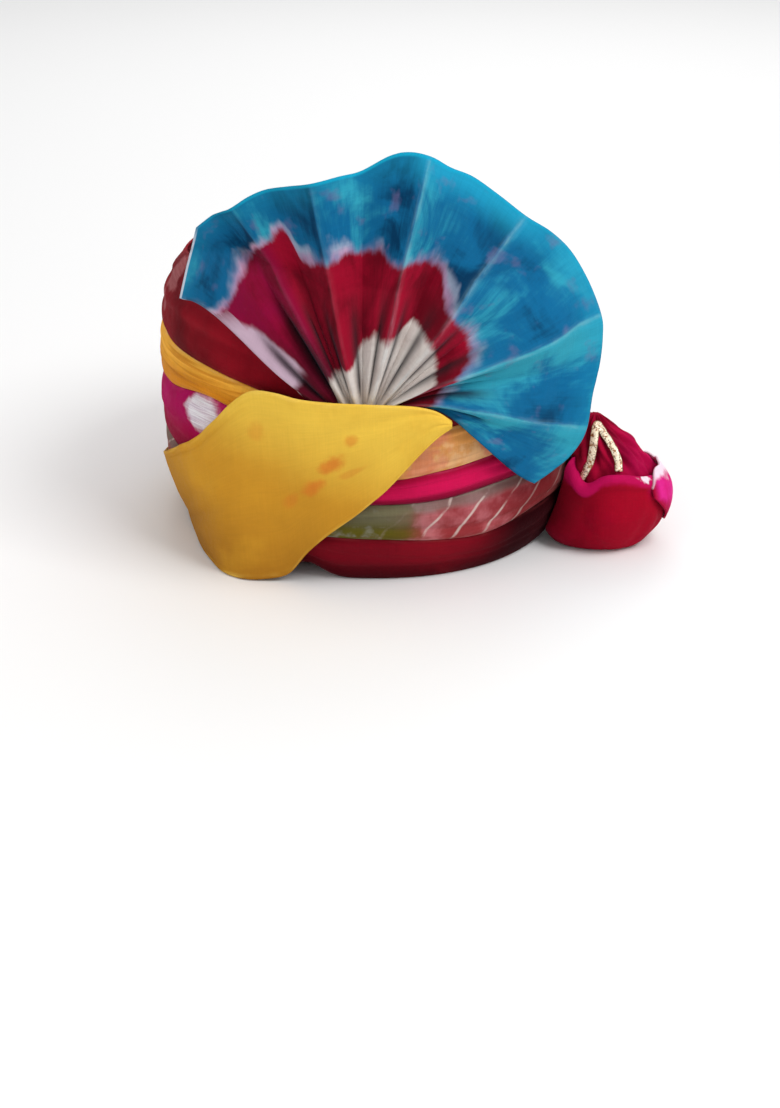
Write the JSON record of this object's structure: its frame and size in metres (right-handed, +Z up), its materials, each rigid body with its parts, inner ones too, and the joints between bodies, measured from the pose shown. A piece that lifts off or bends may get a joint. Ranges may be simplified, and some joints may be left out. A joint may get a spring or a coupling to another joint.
{
  "type": "safa turban",
  "caption": "Wound cloth hat with layered bands, a yellow front sash, a pleated tie-dyed fan rising over the crown and a rolled cloth tail at one side.",
  "frame": {"origin": "centre of the bounding box in X and Y, on the floor plane the rim rests on", "axes": "+Z up, -Y to the front where the sash and fan are, +X to the side of the rolled tail"},
  "size_m": [0.2944, 0.269, 0.233],
  "materials": {
    "crown_cloth": "matt woven cotton",
    "maroon_cloth": "matt woven cotton",
    "striped_cloth": "matt woven cotton, tie-dyed lines",
    "magenta_cloth": "matt woven cotton",
    "amber_cloth": "matt woven cotton",
    "wine_cloth": "matt woven cotton",
    "yellow_cloth": "smooth matt cotton with faint orange dye",
    "blue_dyed_cloth": "starched cotton, dyed blue, crimson and white from the edge in",
    "crimson_cloth": "matt woven cotton",
    "dark_red_cloth": "matt gathered cotton",
    "bright_magenta_cloth": "matt cotton with white undyed patches",
    "gold_ribbon": "metallic woven ribbon"
  },
  "bodies": {
    "root": {"crown": "crown_cloth", "base_band": "maroon_cloth", "striped_band": "striped_cloth", "magenta_band": "magenta_cloth", "amber_band": "amber_cloth", "upper_wrap": "wine_cloth", "front_sash": "yellow_cloth", "fan": "blue_dyed_cloth", "tail_roll": "crimson_cloth", "tail_tuck": "dark_red_cloth", "tail_flap": "bright_magenta_cloth", "gold_trim": "gold_ribbon"}
  },
  "joints": []
}
